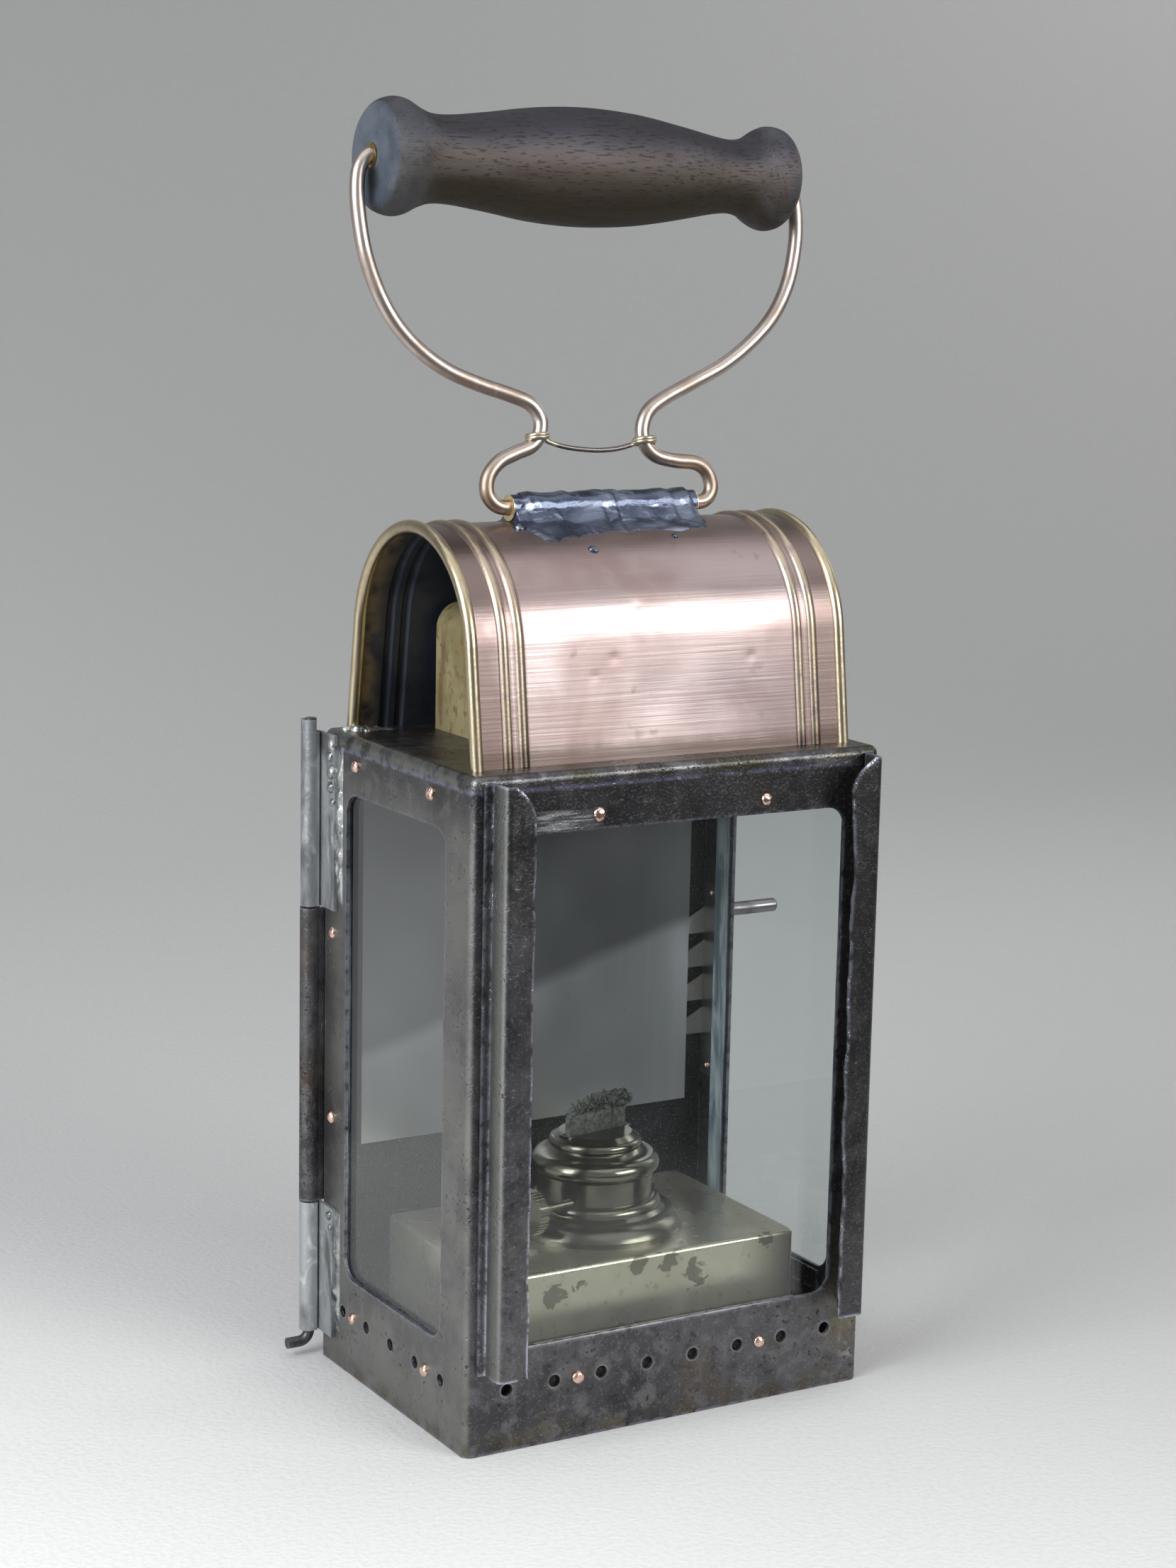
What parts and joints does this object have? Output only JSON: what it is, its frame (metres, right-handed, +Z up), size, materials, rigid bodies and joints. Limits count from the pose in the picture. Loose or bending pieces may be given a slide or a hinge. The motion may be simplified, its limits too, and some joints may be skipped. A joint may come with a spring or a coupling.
{
  "type": "oil lantern",
  "caption": "Box-shaped glazed hand lantern with a copper barrel hood, flat-wick oil burner, hinged rear door, slide channels and a wooden grip on a wire bail.",
  "frame": {"origin": "middle of the body's base, on the surface that the lantern stands on", "axes": "+Z up, +X to the right along the glazed front, -Y out of the front, +Y out of the rear door"},
  "size_m": [0.1235, 0.0799, 0.2791],
  "materials": {
    "blackened_steel": "worn dark finish over steel",
    "window_glass": "clear float glass with green edges",
    "rivet_copper": "bright worn copper",
    "hood_copper": "brushed and tarnished copper",
    "edging_brass": "rubbed brass",
    "baffle_brass": "dull yellow brass with rust marks",
    "bail_wire": "polished wire",
    "tie_steel": "dull twisted wire",
    "solder": "lumpy grey solder",
    "tinplate": "dull tinned sheet",
    "grip_wood": "dark turned wood, worn paint",
    "tarnished_brass": "tarnished nickelled brass",
    "wick_cotton": "charred woven cotton"
  },
  "bodies": {
    "lantern": {"body_wall": "blackened_steel", "roof_cap": "blackened_steel", "base_tray": "blackened_steel", "left_channel": "blackened_steel", "right_channel": "blackened_steel", "hinge_leaf_low": "blackened_steel", "hinge_leaf_high": "blackened_steel", "hinge_pin": "blackened_steel", "front_clip_low": "blackened_steel", "front_clip_high": "blackened_steel", "left_clip_low": "blackened_steel", "left_clip_high": "blackened_steel", "right_clip_low": "blackened_steel", "right_clip_high": "blackened_steel", "left_comb": "blackened_steel", "right_comb": "blackened_steel", "front_glass": "window_glass", "left_glass": "window_glass", "right_glass": "window_glass", "front_rivets": "rivet_copper", "left_rivets": "rivet_copper", "right_rivets": "rivet_copper", "hood": "hood_copper", "left_edging": "edging_brass", "right_edging": "edging_brass", "baffle": "baffle_brass", "crown_solder": "solder", "crown_tube": "solder", "font": "tarnished_brass", "font_bottom": "tarnished_brass", "burner_collar": "tarnished_brass", "burner_base": "tarnished_brass", "burner_cap": "tarnished_brass", "wick_tube": "tarnished_brass"},
    "bail": {"bail": "bail_wire", "tie_wire": "tie_steel"},
    "grip": {"grip": "grip_wood", "grip_liner": "edging_brass"},
    "door": {"rear_door": "blackened_steel", "reflector": "tinplate", "door_stud": "edging_brass"},
    "wick_drive": {"spindle": "tarnished_brass", "wick_wheels": "tarnished_brass", "wick_knob": "tarnished_brass"},
    "wick": {"wick": "wick_cotton"}
  },
  "joints": [
    {"name": "bail_swing", "type": "hinge", "parent": "lantern", "child": "bail", "pos_m": [0, 0.0022, 0.19445], "axis": [1, 0, 0], "range_deg": [-91.5, 108.5]},
    {"name": "grip_spin", "type": "hinge", "parent": "bail", "child": "grip", "pos_m": [0, 0.01286, 0.26576], "axis": [0.9997, -0.0034, -0.0224], "continuous": true},
    {"name": "door_swing", "type": "hinge", "parent": "lantern", "child": "door", "pos_m": [-0.0526, 0.0364, 0.0703], "axis": [0, 0, 1], "range_deg": [0, 170]},
    {"name": "wick_turn", "type": "hinge", "parent": "lantern", "child": "wick_drive", "pos_m": [0.00086, -0.00543, 0.0422], "axis": [0.9877, 0.1564, 0], "range_deg": [-58, 114]},
    {"name": "wick_lift", "type": "slide", "parent": "lantern", "child": "wick", "axis": [0, 0, 1], "range_m": [-0.004, 0.008]}
  ],
  "couplings": [
    {"joint": "wick_turn", "follows": "wick_lift", "rad_per_m": 238.1}
  ]
}
